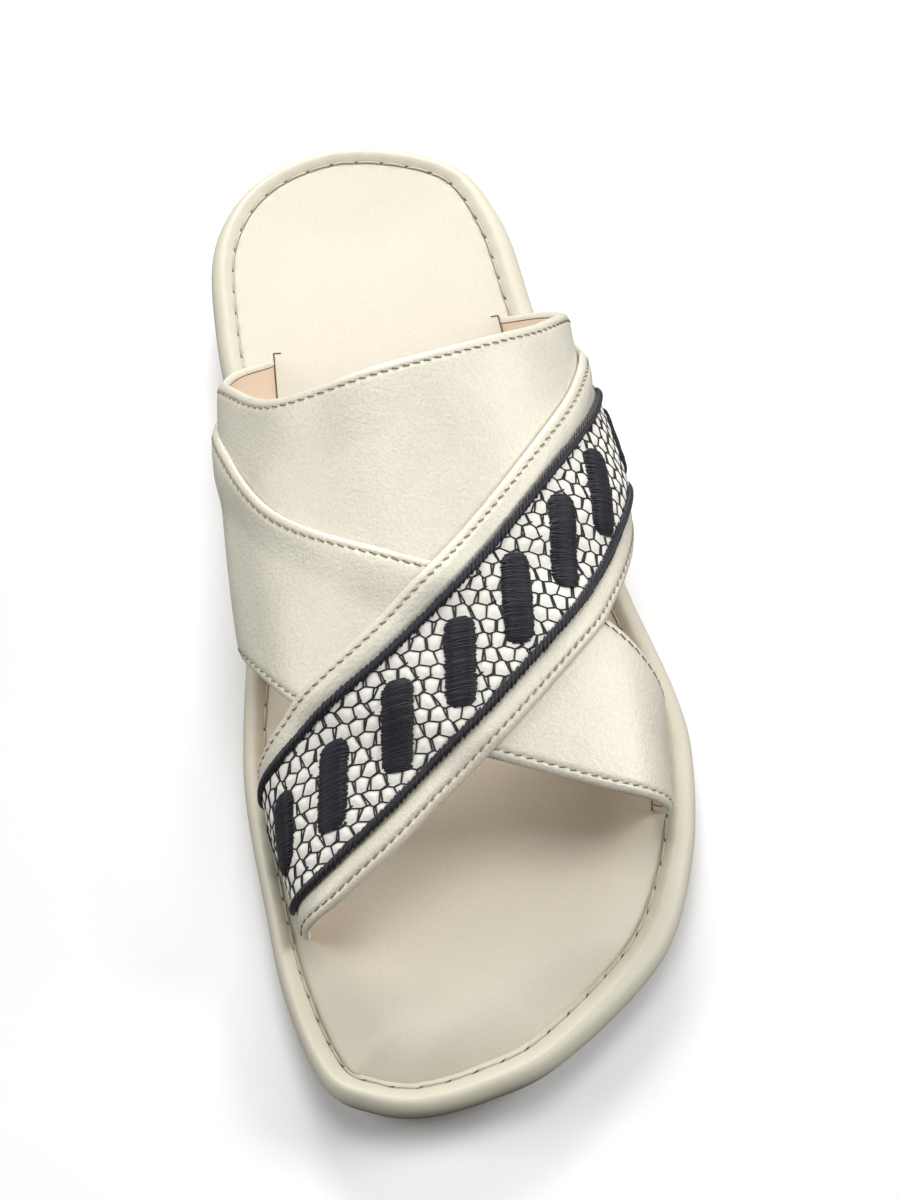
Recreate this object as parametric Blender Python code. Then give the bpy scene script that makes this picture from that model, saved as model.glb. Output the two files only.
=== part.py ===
"""Cross-strap leather slide with an embroidered band, left shoe.

The toe points to -Y and the wearer's outer (lateral) side to +X. The ground is z = 0 and the
origin lies under the middle of the sole. Lengths in tables are millimetres and are turned into
metres where they are used.
"""
import math
from collections import namedtuple

import bmesh
import bpy
import numpy as np

MM = 0.001

# ---------------------------------------------------------------- driving dimensions
LENGTH = 280.0            # outsole tip to heel
GAP = 0.3                 # clearance between pieces that touch
STATIONS = 34             # rows of the sole from toe to heel
TOE_POLE = 27.0           # where the sole's inner rows close, from the toe
HEEL_POLE = 36.0          # the same, from the heel

RIM_RADIUS = 3.0          # rolled leather rim of the midsole
RIM_SHARE = 0.4           # and at most this share of the midsole's height
ROUND_SHARE = 0.3         # a quarter circle's middle corner, as a share of its radius
SEAM_DIP = 0.8            # the rim turns down to the seam over this width
WALL_TUCK = 1.4           # side wall stands this far inside the rim
SOLE_TUCK = 1.9           # outsole edge inside the rim
SOLE_ROUND = 1.0          # rounding of the outsole's lower edge
INSOLE_THICK = 1.8
INSOLE_EDGE = 0.5         # bevel of its upper edge
INSOLE_DROP = 1.4         # insole edge below the rim
DISH_START = 5.0          # the footbed's hollow starts this far inside the outline
DISH_REACH = 34.0         # and levels out over this length

LEATHER = 2.2             # wall of one strap
LAYER = 1.8               # how much a strap rises where it lies on another
SINK = 0.7                # how far its inner face comes up there
EDGE_ROLL = 0.7           # rounding of the folded strap edges
LAYER_FADE = 14.0         # length over which a strap climbs onto the one below
FOOT_FADE = 0.12          # share of a strap's run over which it comes down again at a foot
FOOT_BOW = 0.8            # how early a strap leans out above its foot
FOOT_DEPTH = 3.6          # strap ends below the footbed
BAND_RECESS = 0.8         # seat of the embroidered band in strap C
BAND_PROUD = 0.4          # band above the strap's edge strips
STRIP = 0.15              # share of strap C's width that each edge strip takes
SEAT_STEP = 0.004         # half the share that the step down to the band's seat takes
BAND_GAP = 0.012          # share of the width between the step and the band

# ---------------------------------------------------------------- sole tables
# outline: distance from the toe, then the inner and outer edge from the shoe's axis
Outline = namedtuple("Outline", "from_toe medial lateral")
OUTLINE = (
    Outline(3, -33.5, -5),
    Outline(11, -43.5, 13),
    Outline(35, -50.2, 39),
    Outline(61, -52.8, 50.3),
    Outline(88, -54.8, 54.6),
    Outline(108, -54, 53.2),
    Outline(142, -50, 44.5),
    Outline(182, -48, 38),
    Outline(222, -51, 32),
    Outline(252, -49, 27),
    Outline(272, -35.5, 15.5),
)
TOE_TIP = -21.0
HEEL_TIP = -11.5

# heights: tread, joint of outsole and midsole, top of the rim; depth of the footbed's hollow;
# width of the rim outside the stitched seam on the inner and the outer side
Profile = namedtuple("Profile", "from_toe tread seam rim hollow rim_medial rim_lateral")
PROFILE = (
    Profile(0, 8.0, 11.0, 17.3, 0.6, 7.0, 7.2),
    Profile(25, 3.2, 6.4, 14.8, 1.0, 5.6, 8.0),
    Profile(62, 0.0, 3.6, 12.9, 1.3, 4.3, 7.0),
    Profile(100, 0.0, 3.8, 13.1, 1.4, 5.0, 6.4),
    Profile(150, 2.2, 6.2, 16.2, 1.8, 5.6, 5.8),
    Profile(178, 2.2, 7.0, 18.8, 2.0, 5.4, 5.6),
    Profile(205, 0.0, 7.4, 20.9, 2.3, 5.4, 6.0),
    Profile(242, 0.0, 7.8, 23.0, 2.6, 5.5, 6.4),
    Profile(280, 0.0, 8.0, 23.6, 2.6, 5.0, 5.2),
)

# ---------------------------------------------------------------- last and strap tables
# foot form under the straps: where straps leave the footbed, the widest points, the ridge
Last = namedtuple("Last", "from_toe foot_in foot_out side_in side_out side_up ridge top")
LAST = (
    Last(45, -41.0, 33.0, -42.0, 42.0, 14.0, -10.3, 40.0),
    Last(75, -44.5, 42.2, -47.5, 44.0, 15.5, -10.8, 49.0),
    Last(110, -44.0, 42.5, -50.0, 45.6, 17.2, -11.4, 60.7),
    Last(150, -39.5, 32.4, -50.5, 42.6, 19.2, -12.0, 72.7),
    Last(190, -37.5, 26.0, -49.6, 36.0, 21.1, -12.7, 90.0),
    Last(230, -36.5, 21.5, -48.0, 37.5, 23.1, -13.4, 109.0),
)
ROUND_IN = 2.1            # exponent of the arch on the inner side, 2 is an ellipse
ROUND_OUT = 1.9
SIDE_SHARE = 0.2          # share of a strap's run from the footbed to the widest point

# strap edges: distance from the toe at seven places from the inner foot over the top to the outer
# foot; base is the strap's height above the last, across its stations from front to rear edge
Edge = namedtuple("Edge", "foot_in side_in shoulder_in top shoulder_out side_out foot_out")
EDGE_RUN = (0.0, SIDE_SHARE, 0.35, 0.5, 0.65, 1 - SIDE_SHARE, 1.0)
Strap = namedtuple("Strap", "front rear base across")
STRAPS = {
    "a": Strap(Edge(182, 164, 134, 110, 126, 152, 186),
               Edge(215, 193, 167, 166, 179, 204, 221), 0.0, (0, 0.03, 0.25, 0.5, 0.75, 0.97, 1)),
    "b": Strap(Edge(130, 118, 91, 77, 66.5, 66.5, 75),
               Edge(194, 181.5, 139.5, 120, 110.5, 98, 107), 0.4,
               (0, 0.04, 0.25, 0.5, 0.75, 0.96, 1)),
    "c": Strap(Edge(50, 43, 46.2, 62.8, 100.8, 143, 147),
               Edge(96, 87.5, 94.6, 113.5, 156.5, 194, 208), 0.8,
               (0, 0.04, STRIP - SEAT_STEP, STRIP + SEAT_STEP, 0.27, 0.385, 0.5, 0.615, 0.73,
                1 - STRIP - SEAT_STEP, 1 - STRIP + SEAT_STEP, 0.96, 1)),
}
BAND_ACROSS = (STRIP + BAND_GAP, 0.27, 0.385, 0.5, 0.615, 0.73, 1 - STRIP - BAND_GAP)
ALONG = 38                # strips along a strap

MATERIALS = {
    "outsole": ((0.45, 0.41, 0.34), 0.75),
    "midsole": ((0.80, 0.77, 0.68), 0.55),
    "insole": ((0.83, 0.79, 0.70), 0.5),
    "upper": ((0.84, 0.81, 0.73), 0.65),
    "embroidered_band": ((0.16, 0.155, 0.19), 0.7),
}


# ---------------------------------------------------------------- curves through tables
def smooth(knots, values, x):
    """Cubic curve through the knots, clamped at both ends."""
    knots, values = np.asarray(knots, float), np.asarray(values, float)
    x = np.clip(x, knots[0], knots[-1])
    step = np.diff(knots)
    rise = np.diff(values) / step
    slope = np.concatenate(([rise[0]], (rise[:-1] * step[1:] + rise[1:] * step[:-1])
                            / (step[:-1] + step[1:]), [rise[-1]]))
    i = np.clip(np.searchsorted(knots, x) - 1, 0, len(knots) - 2)
    t = (x - knots[i]) / step[i]
    return ((1 + 2 * t) * (1 - t) ** 2 * values[i] + t * (1 - t) ** 2 * step[i] * slope[i]
            + t * t * (3 - 2 * t) * values[i + 1] + t * t * (t - 1) * step[i] * slope[i + 1])


def column(table, name, y):
    return smooth([row.from_toe for row in table], [getattr(row, name) for row in table], y)


def ease(x):
    x = np.clip(x, 0, 1)
    return x * x * (3 - 2 * x)


# ---------------------------------------------------------------- sole form
def closed_outline(steps=12):
    """Catmull-Rom loop from the toe tip down the outer side, round the heel and back."""
    knots = ([(TOE_TIP, 0.0)] + [(row.lateral, row.from_toe) for row in OUTLINE]
             + [(HEEL_TIP, LENGTH)] + [(row.medial, row.from_toe) for row in reversed(OUTLINE)])
    knots = np.array(knots, float)
    t = np.arange(steps)[:, None] / steps
    spans = []
    for a, b, c, d in zip(np.roll(knots, 1, 0), knots, np.roll(knots, -1, 0), np.roll(knots, -2, 0)):
        spans.append(0.5 * (2 * b + (c - a) * t + (2 * a - 5 * b + 4 * c - d) * t ** 2
                            + (3 * b - a - 3 * c + d) * t ** 3))
    loop = np.concatenate(spans)
    loop[:, 1] = np.clip(loop[:, 1], 0, LENGTH)
    return loop


LOOP = closed_outline()
HALF = len(LOOP) // 2
OUTER_SIDE = LOOP[:HALF + 1]
INNER_SIDE = np.concatenate((LOOP[:1], LOOP[:HALF - 1:-1]))


def edge_x(side, y):
    return np.interp(y, side[:, 1], side[:, 0])


def sole_rows():
    """Outline points at the same distances from the toe on both sides, as one ring."""
    y = LENGTH * (1 - np.cos(np.linspace(0, math.pi, STATIONS + 1))) / 2
    outer = np.column_stack((edge_x(OUTER_SIDE, y), y))
    inner = np.column_stack((edge_x(INNER_SIDE, y), y))
    return np.concatenate((outer, inner[-2:0:-1]))


RING = sole_rows()


def ring_normals(ring):
    run = np.roll(ring, -1, 0) - np.roll(ring, 1, 0)
    run /= np.linalg.norm(run, axis=1)[:, None]
    return np.column_stack((run[:, 1], -run[:, 0]))


NORMALS = ring_normals(RING)
ON_OUTER_SIDE = np.arange(len(RING)) <= STATIONS


def inset(distance):
    """The sole outline moved inwards by one distance, or by one for each of its points."""
    inward = np.broadcast_to(np.asarray(distance, float), len(RING))
    return RING - NORMALS * inward[:, None]


def spine_row():
    """Middle line of the sole, where the rings of its upper and lower faces close."""
    y = np.clip(RING[:, 1], TOE_POLE, LENGTH - HEEL_POLE)
    return np.column_stack(((edge_x(OUTER_SIDE, y) + edge_x(INNER_SIDE, y)) / 2, y))


SPINE = spine_row()


def profile(name, y):
    """A column of the profile; the tread's flat spots lie exactly on the ground."""
    return np.maximum(column(PROFILE, name, y), 0.0)


def rim_width():
    y = RING[:, 1]
    return np.where(ON_OUTER_SIDE, profile("rim_lateral", y), profile("rim_medial", y))


def footbed(points):
    """Height of the insole's top: a shallow hollow inside the rim."""
    points = np.asarray(points, float)
    away = np.linalg.norm(points[..., None, :] - LOOP, axis=-1).min(-1) - DISH_START
    hollow = 1 - (1 - np.clip(away / DISH_REACH, 0, 1)) ** 2
    y = points[..., 1]
    return profile("rim", y) - INSOLE_DROP - profile("hollow", y) * hollow


def level(ring, name, lift=0.0):
    return np.column_stack((ring, profile(name, ring[:, 1]) + lift))


def on_footbed(ring, lift=0.0):
    return np.column_stack((ring, footbed(ring) + lift))


def between(ring, share):
    return ring * (1 - share) + SPINE * share


# ---------------------------------------------------------------- last and straps
def last_point(y, run):
    """Inner face of the straps: y from the toe, run 0 at the inner foot to 1 at the outer."""
    y, run = np.broadcast_arrays(np.asarray(y, float), np.asarray(run, float))
    foot_in, foot_out, side_in, side_out, side_up, ridge, top = (
        column(LAST, name, y) for name in Last._fields[1:])
    floor_in = footbed(np.stack((foot_in, y), -1))
    floor_out = footbed(np.stack((foot_out, y), -1))
    belly = (floor_in + floor_out) / 2 + side_up

    angle = math.pi * np.clip((run - SIDE_SHARE) / (1 - 2 * SIDE_SHARE), 0, 1)
    inner = angle < math.pi / 2
    power = 2 / np.where(inner, ROUND_IN, ROUND_OUT)
    reach = np.abs(np.cos(angle)) ** power
    arch_x = ridge + (np.where(inner, side_in, side_out) - ridge) * reach
    arch_z = belly + (top - belly) * np.abs(np.sin(angle)) ** power

    rise_in = np.clip(run / SIDE_SHARE, 0, 1)
    rise_out = np.clip((1 - run) / SIDE_SHARE, 0, 1)
    bow_in = (1 - np.cos(math.pi * rise_in ** FOOT_BOW)) / 2
    bow_out = (1 - np.cos(math.pi * rise_out ** FOOT_BOW)) / 2
    low_in, low_out = run < SIDE_SHARE, run > 1 - SIDE_SHARE
    x = np.where(low_in, foot_in + (side_in - foot_in) * bow_in,
                 np.where(low_out, foot_out + (side_out - foot_out) * bow_out, arch_x))
    z = np.where(low_in, floor_in + (belly - floor_in) * rise_in,
                 np.where(low_out, floor_out + (belly - floor_out) * rise_out, arch_z))
    return np.stack((x, y, z), -1)


def last_normal(y, run):
    ahead = last_point(y + 1, run) - last_point(y - 1, run)
    over = last_point(y, np.clip(run + 0.01, 0, 1)) - last_point(y, np.clip(run - 0.01, 0, 1))
    normal = np.cross(over, ahead)
    return normal / np.linalg.norm(normal, axis=-1)[..., None]


def strap_edge(edge, run):
    return smooth(EDGE_RUN, edge, run)


def covers(strap, y, run):
    """1 where the strap lies under this place, easing to 0 at its edges and at its feet."""
    front, rear = strap_edge(strap.front, run), strap_edge(strap.rear, run)
    inside = ease((y - front) / LAYER_FADE + 0.5) * ease((rear - y) / LAYER_FADE + 0.5)
    return inside * ease(run / FOOT_FADE) * ease((1 - run) / FOOT_FADE)


def strap_faces(key, y, run):
    """Heights of a strap's two faces above the last, climbing over the straps below it."""
    below = np.zeros_like(run)
    for name in "abc"[:"abc".index(key)]:
        below = below + covers(STRAPS[name], y, run)
    base = STRAPS[key].base
    return base + SINK * below, base + LEATHER + LAYER * below


def strap_place(key, across, run, grow=0.0):
    strap = STRAPS[key]
    front, rear = strap_edge(strap.front, run) - grow, strap_edge(strap.rear, run) + grow
    return front + (rear - front) * across


def strap_surface(key, across, run, height, grow=0.0):
    """Points at a height on a strap; run below 0 or above 1 is the foot in its slot.

    height is a function of the place across the strap and of its inner and outer face.
    """
    reach = np.clip(run, 0, 1)
    y = strap_place(key, across, reach, grow)
    lift = height(across, *strap_faces(key, y, reach))
    last = last_point(y, reach)
    points = last + last_normal(y, reach) * lift[..., None]
    sunk = (run < 0) | (run > 1)
    points[..., 2] = np.where(sunk, last[..., 2] - FOOT_DEPTH - grow, points[..., 2])
    return points


def strap_inner(across, inner, outer):
    return inner


def strap_outer(across, inner, outer):
    """Rounded down at the folded edges."""
    return outer - EDGE_ROLL * ((across == 0) | (across == 1))


def strap_c_outer(across, inner, outer):
    """Drops between its edge strips, where the band lies."""
    seat = (across > STRIP) & (across < 1 - STRIP)
    return strap_outer(across, inner, outer) - BAND_RECESS * seat


def slot_inner(across, inner, outer):
    return inner - GAP


def slot_outer(across, inner, outer):
    return outer + GAP


def band_inner(across, inner, outer):
    return outer - BAND_RECESS + GAP


def band_outer(across, inner, outer):
    return outer + BAND_PROUD


# ---------------------------------------------------------------- Blender objects
CENTRE = np.array([(RING[:, 0].max() + RING[:, 0].min()) / 2, LENGTH / 2, 0.0])


def world(points):
    return (np.asarray(points) - CENTRE) * MM


def finish(mesh, name, collection):
    bmesh.ops.recalc_face_normals(mesh, faces=mesh.faces)
    data = bpy.data.meshes.new(name)
    mesh.to_mesh(data)
    mesh.free()
    part = bpy.data.objects.new(name, data)
    collection.objects.link(part)
    return part


def loft(name, rings, collection):
    """Closed solid through rings of equal length; the first and last lie on the spine."""
    mesh = bmesh.new()
    rows = [[mesh.verts.new(point) for point in world(ring)] for ring in rings]
    for low, high in zip(rows, rows[1:]):
        for i in range(len(low)):
            j = (i + 1) % len(low)
            mesh.faces.new((low[i], low[j], high[j], high[i]))
    bmesh.ops.remove_doubles(mesh, verts=mesh.verts, dist=1e-6)
    return finish(mesh, name, collection)


def slab(name, key, across, runs, low, high, collection, grow=0.0):
    """A grid laid on a strap at the height low and extruded to the height high."""
    mesh = bmesh.new()
    columns, rows = len(across) - 1, len(runs) - 1
    bmesh.ops.create_grid(mesh, x_segments=columns, y_segments=rows, size=1)
    extruded = bmesh.ops.extrude_face_region(mesh, geom=mesh.faces[:])
    top = [item for item in extruded["geom"] if isinstance(item, bmesh.types.BMVert)]
    bottom = [vert for vert in mesh.verts if vert not in set(top)]
    for group, height in ((bottom, low), (top, high)):
        share = np.array([across[round((v.co.x + 1) / 2 * columns)] for v in group])
        run = np.array([runs[round((v.co.y + 1) / 2 * rows)] for v in group])
        for vert, point in zip(group, world(strap_surface(key, share, run, height, grow))):
            vert.co = point
    bmesh.ops.triangulate(mesh, faces=mesh.faces[:], quad_method="FIXED")
    return finish(mesh, name, collection)


def boolean(part, other, operation):
    modifier = part.modifiers.new(f"{operation.lower()} {other.name}", "BOOLEAN")
    modifier.operation = operation
    modifier.object = other


def make_outsole(collection):
    edge = inset(SOLE_TUCK)
    foot = inset(SOLE_TUCK + SOLE_ROUND)
    return loft("outsole", [
        level(SPINE, "tread"), level(between(foot, 0.5), "tread"), level(foot, "tread"),
        level(edge, "tread", SOLE_ROUND), level(edge, "seam"),
        level(between(edge, 0.5), "seam"), level(SPINE, "seam"),
    ], collection)


def make_midsole(collection):
    """Wedge with a rolled rim and a recess for the insole."""
    height = profile("rim", RING[:, 1]) - profile("seam", RING[:, 1])
    radius = np.minimum(RIM_RADIUS, RIM_SHARE * height)
    seat = rim_width()
    wall = inset(WALL_TUCK)
    base = inset(WALL_TUCK + SOLE_ROUND)
    bed = -INSOLE_THICK - GAP
    inner = inset(seat)

    def rim(inward, drop):
        ring = inset(inward)
        return np.column_stack((ring, profile("rim", ring[:, 1]) - drop))

    return loft("midsole", [
        level(SPINE, "seam", GAP), level(between(base, 0.5), "seam", GAP),
        level(base, "seam", GAP),
        level(wall, "seam", GAP + SOLE_ROUND),
        rim(WALL_TUCK, 2 * radius),
        rim(ROUND_SHARE * radius, (2 - ROUND_SHARE) * radius),
        rim(0.0, radius),
        rim(ROUND_SHARE * radius, ROUND_SHARE * radius),
        rim(radius, 0.0),
        rim(seat - SEAM_DIP, SEAM_DIP / 2),
        rim(seat, INSOLE_DROP),
        on_footbed(inner, bed),
        on_footbed(between(inner, 0.3), bed), on_footbed(between(inner, 0.65), bed),
        on_footbed(SPINE, bed),
    ], collection)


def make_insole(collection):
    edge = inset(rim_width() + GAP)
    top = inset(rim_width() + GAP + INSOLE_EDGE)
    return loft("insole", [
        on_footbed(SPINE, -INSOLE_THICK), on_footbed(between(edge, 0.65), -INSOLE_THICK),
        on_footbed(between(edge, 0.3), -INSOLE_THICK), on_footbed(edge, -INSOLE_THICK),
        on_footbed(edge, -INSOLE_EDGE), on_footbed(top),
        on_footbed(between(edge, 0.3)), on_footbed(between(edge, 0.65)), on_footbed(SPINE),
    ], collection)


RUNS = [-1.0] + list(np.linspace(0, 1, ALONG + 1)) + [2.0]


def make_strap(key, collection):
    high = strap_c_outer if key == "c" else strap_outer
    return slab(f"strap_{key}", key, STRAPS[key].across, RUNS, strap_inner, high, collection)


def make_slot_cutter(key, collection):
    """The strap's own form grown by the gap, which opens its slots in the footbed."""
    across = (0, 0.33, 0.67, 1)
    return slab(f"slot_cutter_{key}", key, across, RUNS, slot_inner, slot_outer, collection, GAP)


def make_band(collection):
    """Woven band seated between strap C's edge strips; it stops at the footbed."""
    return slab("embroidered_band", "c", BAND_ACROSS, RUNS[2:-2], band_inner, band_outer,
                collection)


def paint(part):
    colour, roughness = MATERIALS[part.name]
    material = bpy.data.materials.new(part.name)
    material.use_nodes = True
    shader = material.node_tree.nodes["Principled BSDF"]
    shader.inputs["Base Color"].default_value = (*colour, 1.0)
    shader.inputs["Roughness"].default_value = roughness
    shader.inputs["Metallic"].default_value = 0.0
    part.data.materials.append(material)
    part.data.shade_smooth()
    part.data.set_sharp_from_angle(angle=math.radians(35))


def main():
    for old in list(bpy.data.objects):
        bpy.data.objects.remove(old, do_unlink=True)
    parts = bpy.data.collections.new("cross_strap_slide")
    tools = bpy.data.collections.new("cutters")
    bpy.context.scene.collection.children.link(parts)
    bpy.context.scene.collection.children.link(tools)

    upper = make_strap("a", parts)
    upper.name = upper.data.name = "upper"
    for key in "bc":
        boolean(upper, make_strap(key, tools), "UNION")
    midsole, insole = make_midsole(parts), make_insole(parts)
    for key in "abc":
        cutter = make_slot_cutter(key, tools)
        boolean(midsole, cutter, "DIFFERENCE")
        boolean(insole, cutter, "DIFFERENCE")
    for tool in tools.objects:
        tool.hide_render = True
        tool.display_type = "WIRE"
    for part in (make_outsole(parts), midsole, insole, upper, make_band(parts)):
        paint(part)


if __name__ == "__main__":
    main()
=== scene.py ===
import math
import random

import bmesh
import bpy
import numpy as np
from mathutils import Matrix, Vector


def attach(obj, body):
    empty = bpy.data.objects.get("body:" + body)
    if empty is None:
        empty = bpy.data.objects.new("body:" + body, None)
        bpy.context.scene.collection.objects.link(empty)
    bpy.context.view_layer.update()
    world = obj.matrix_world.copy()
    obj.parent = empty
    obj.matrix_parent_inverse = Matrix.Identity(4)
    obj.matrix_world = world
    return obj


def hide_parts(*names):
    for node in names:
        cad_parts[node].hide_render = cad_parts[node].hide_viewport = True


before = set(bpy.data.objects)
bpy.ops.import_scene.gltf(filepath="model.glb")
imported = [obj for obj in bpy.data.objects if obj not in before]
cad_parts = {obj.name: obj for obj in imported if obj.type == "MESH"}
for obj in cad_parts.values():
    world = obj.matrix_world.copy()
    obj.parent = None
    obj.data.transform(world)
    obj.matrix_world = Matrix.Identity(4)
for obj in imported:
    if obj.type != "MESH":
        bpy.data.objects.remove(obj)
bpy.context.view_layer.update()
random.seed(4)
mm = 0.001

# ---- the shoe's form, in millimetres: x outwards, y from the toe, z up
outline = {"fromToe": (3, 11, 35, 61, 88, 108, 142, 182, 222, 252, 272),
           "inner": (-33.5, -43.5, -50.2, -52.8, -54.8, -54, -50, -48, -51, -49, -35.5),
           "outer": (-5, 13, 39, 50.3, 54.6, 53.2, 44.5, 38, 32, 27, 15.5),
           "length": 280, "toeTip": -21, "heelTip": -11.5}
profile = {"fromToe": (0, 25, 62, 100, 150, 178, 205, 242, 280),
           "tread": (8, 3.2, 0, 0, 2.2, 2.2, 0, 0, 0),
           "seam": (11, 6.4, 3.6, 3.8, 6.2, 7, 7.4, 7.8, 8),
           "rim": (17.3, 14.8, 12.9, 13.1, 16.2, 18.8, 20.9, 23, 23.6),
           "hollow": (0.6, 1, 1.3, 1.4, 1.8, 2, 2.3, 2.6, 2.6),
           "rimInner": (7, 5.6, 4.3, 5, 5.6, 5.4, 5.4, 5.5, 5),
           "rimOuter": (7.2, 8, 7, 6.4, 5.8, 5.6, 6, 6.4, 5.2)}
last = {"fromToe": (45, 75, 110, 150, 190, 230),
        "footIn": (-41, -44.5, -44, -39.5, -37.5, -36.5),
        "footOut": (33, 42.2, 42.5, 32.4, 26, 21.5),
        "sideIn": (-42, -47.5, -50, -50.5, -49.6, -48),
        "sideOut": (42, 44, 45.6, 42.6, 36, 37.5),
        "sideUp": (14, 15.5, 17.2, 19.2, 21.1, 23.1),
        "ridge": (-10.3, -10.8, -11.4, -12, -12.7, -13.4),
        "top": (40, 49, 60.7, 72.7, 90, 109),
        "sideShare": 0.2, "roundIn": 2.1, "roundOut": 1.9, "footBow": 0.8}
# strap edges from the toe, at seven places from the inner foot over the top to the outer foot
straps = {"rear": {"front": (182, 164, 134, 110, 126, 152, 186),
                   "back": (215, 193, 167, 166, 179, 204, 221), "base": 0.0},
          "middle": {"front": (130, 118, 91, 77, 66.5, 66.5, 75),
                     "back": (194, 181.5, 139.5, 120, 110.5, 98, 107), "base": 0.4},
          "top": {"front": (50, 43, 46.2, 62.8, 100.8, 143, 147),
                  "back": (96, 87.5, 94.6, 113.5, 156.5, 194, 208), "base": 0.8}}
strapOrder = ("rear", "middle", "top")
edgeRuns = (0, last["sideShare"], 0.35, 0.5, 0.65, 1 - last["sideShare"], 1)
leather = {"thick": 2.2, "climb": 1.8, "fade": 14, "footFade": 0.12, "footDepth": 3.4}


def smoothCurve(knots, values, x):
    knots, values = np.asarray(knots, float), np.asarray(values, float)
    x = np.clip(x, knots[0], knots[-1])
    step = np.diff(knots)
    rise = np.diff(values) / step
    slope = np.concatenate(([rise[0]], (rise[:-1] * step[1:] + rise[1:] * step[:-1])
                            / (step[:-1] + step[1:]), [rise[-1]]))
    i = np.clip(np.searchsorted(knots, x) - 1, 0, len(knots) - 2)
    t = (x - knots[i]) / step[i]
    return ((1 + 2 * t) * (1 - t) ** 2 * values[i] + t * (1 - t) ** 2 * step[i] * slope[i]
            + t * t * (3 - 2 * t) * values[i + 1] + t * t * (t - 1) * step[i] * slope[i + 1])


def ease(x):
    x = np.clip(x, 0, 1)
    return x * x * (3 - 2 * x)


def bell(x):
    return np.exp(-np.asarray(x, float) ** 2)


def soleValue(name, y):
    return np.maximum(smoothCurve(profile["fromToe"], profile[name], y), 0)


def outlineLoop(steps):
    # Catmull-Rom loop from the toe tip down the outer side, round the heel and back
    knots = ([(outline["toeTip"], 0)] + list(zip(outline["outer"], outline["fromToe"]))
             + [(outline["heelTip"], outline["length"])]
             + list(zip(outline["inner"], outline["fromToe"]))[::-1])
    knots = np.array(knots, float)
    t = np.arange(steps)[:, None] / steps
    spans = []
    for a, b, c, d in zip(np.roll(knots, 1, 0), knots, np.roll(knots, -1, 0), np.roll(knots, -2, 0)):
        spans.append(0.5 * (2 * b + (c - a) * t + (2 * a - 5 * b + 4 * c - d) * t ** 2
                            + (3 * b - a - 3 * c + d) * t ** 3))
    loop = np.concatenate(spans)
    loop[:, 1] = np.clip(loop[:, 1], 0, outline["length"])
    return loop


def lengthsAlong(points):
    return np.concatenate(([0], np.cumsum(np.linalg.norm(np.diff(points, axis=0), axis=1))))


def evenLoop(loop, count):
    closed = np.vstack((loop, loop[:1]))
    run = lengthsAlong(closed)
    at = np.arange(count) / count * run[-1]
    return np.column_stack([np.interp(at, run, closed[:, k]) for k in range(2)])


def loopNormals(ring):
    run = np.roll(ring, -2, 0) - np.roll(ring, 2, 0)
    run /= np.linalg.norm(run, axis=1)[:, None]
    return np.column_stack((run[:, 1], -run[:, 0]))


sole = {"around": 720, "toePole": 36, "heelPole": 36,
        # the insole's top lies this far under the rim, and its hollow starts and ends this far in
        "insoleDrop": 1.4, "hollowFrom": 5, "hollowOver": 34}
fineLoop = outlineLoop(48)
ring = evenLoop(fineLoop, sole["around"])
ringOut = loopNormals(ring)
half = len(fineLoop) // 2
outerSide = fineLoop[:half + 1]
innerSide = np.concatenate((fineLoop[:1], fineLoop[:half - 1:-1]))
heelAt = int(np.argmax(ring[:, 1]))
onOuterSide = np.arange(len(ring)) <= heelAt
centreX = (ring[:, 0].max() + ring[:, 0].min()) / 2


def toWorld(points):
    points = np.asarray(points, float)
    return (points - np.array([centreX, outline["length"] / 2, 0])) * mm


def inset(distance):
    return ring - ringOut * np.broadcast_to(np.asarray(distance, float), len(ring))[:, None]


spineY = np.clip(ring[:, 1], sole["toePole"], outline["length"] - sole["heelPole"])
spine = np.column_stack(((np.interp(spineY, outerSide[:, 1], outerSide[:, 0])
                          + np.interp(spineY, innerSide[:, 1], innerSide[:, 0])) / 2, spineY))
rimWidth = np.where(onOuterSide, soleValue("rimOuter", ring[:, 1]), soleValue("rimInner", ring[:, 1]))
coarseLoop = outlineLoop(24)


def footbed(points):
    # top of the insole: a shallow hollow inside the rim
    points = np.asarray(points, float)
    flat = points.reshape(-1, 2)
    away = np.empty(len(flat))
    for i in range(0, len(flat), 20000):
        part = flat[i:i + 20000]
        away[i:i + 20000] = np.sqrt(((part[:, None] - coarseLoop) ** 2).sum(-1).min(-1))
    inside = (away.reshape(points.shape[:-1]) - sole["hollowFrom"]) / sole["hollowOver"]
    hollow = 1 - (1 - np.clip(inside, 0, 1)) ** 2
    y = points[..., 1]
    return soleValue("rim", y) - sole["insoleDrop"] - soleValue("hollow", y) * hollow


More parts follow.
